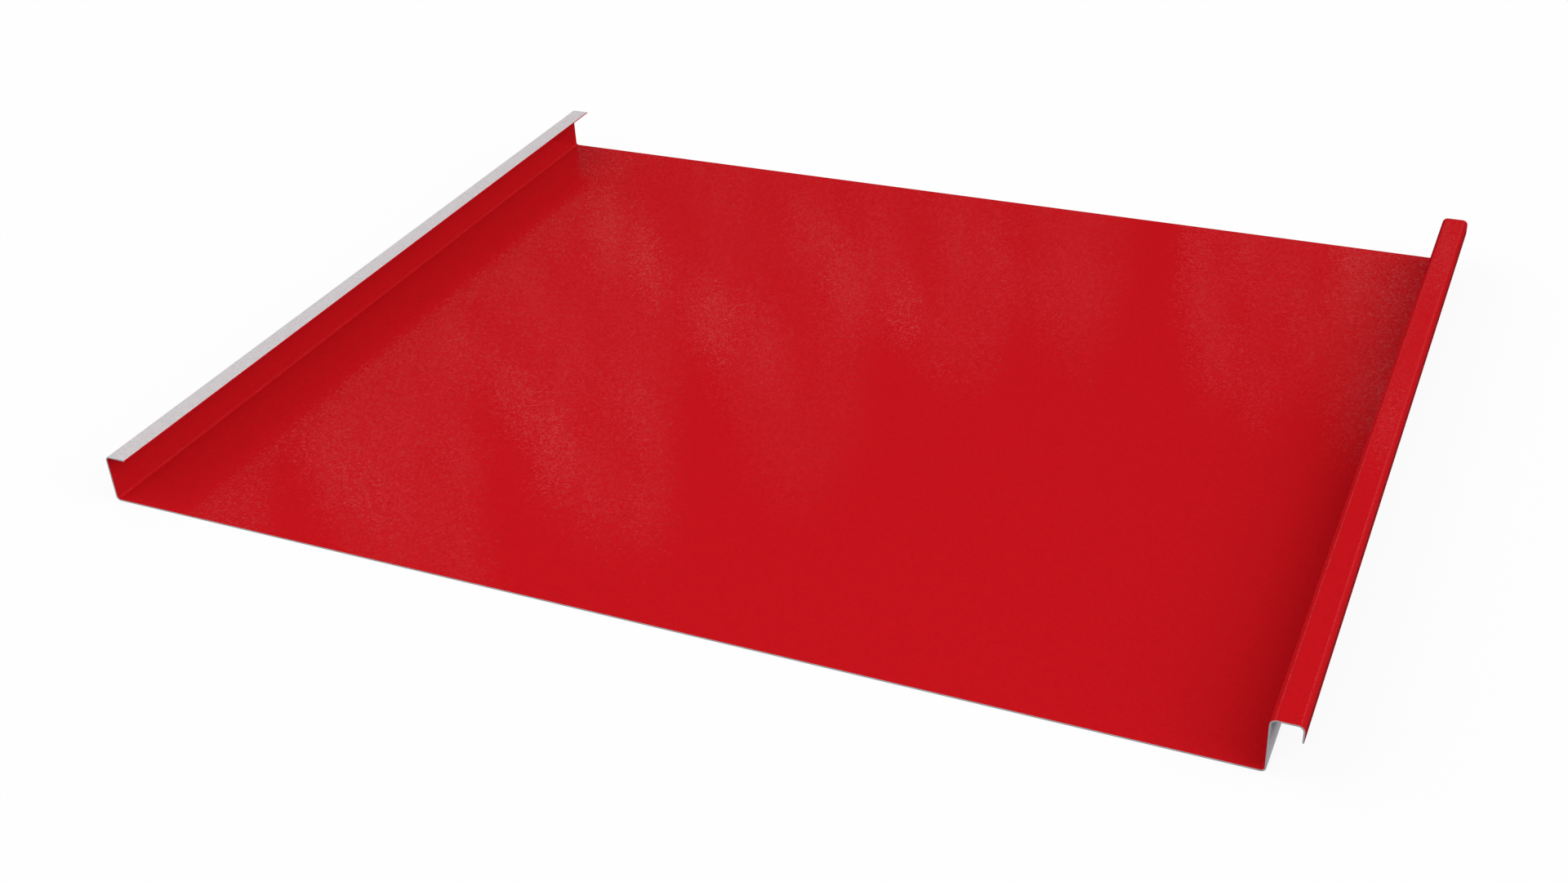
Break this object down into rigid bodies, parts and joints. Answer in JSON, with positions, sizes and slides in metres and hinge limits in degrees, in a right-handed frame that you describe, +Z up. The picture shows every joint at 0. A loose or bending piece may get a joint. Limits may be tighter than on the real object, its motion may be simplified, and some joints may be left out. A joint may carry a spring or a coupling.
{
  "type": "standing seam roof panel",
  "caption": "Coated steel roof panel: a flat pan with an undercloak along one edge and a taller overcloak, cap and lip along the other, which locks over the next panel's undercloak.",
  "frame": {"origin": "centre of the pan's underside, midway between the upstands' outer faces and midway along the length", "axes": "+X across the panel from the undercloak to the overcloak, +Y along the panel's length, +Z up out of the pan"},
  "size_m": [0.5624, 0.45, 0.0257],
  "materials": {
    "coated_sheet": "satin red topcoat with a fine grain; plain pale grey back coat underneath; bare steel at the cut edges"
  },
  "bodies": {
    "root": {"panel": "coated_sheet"}
  },
  "joints": []
}
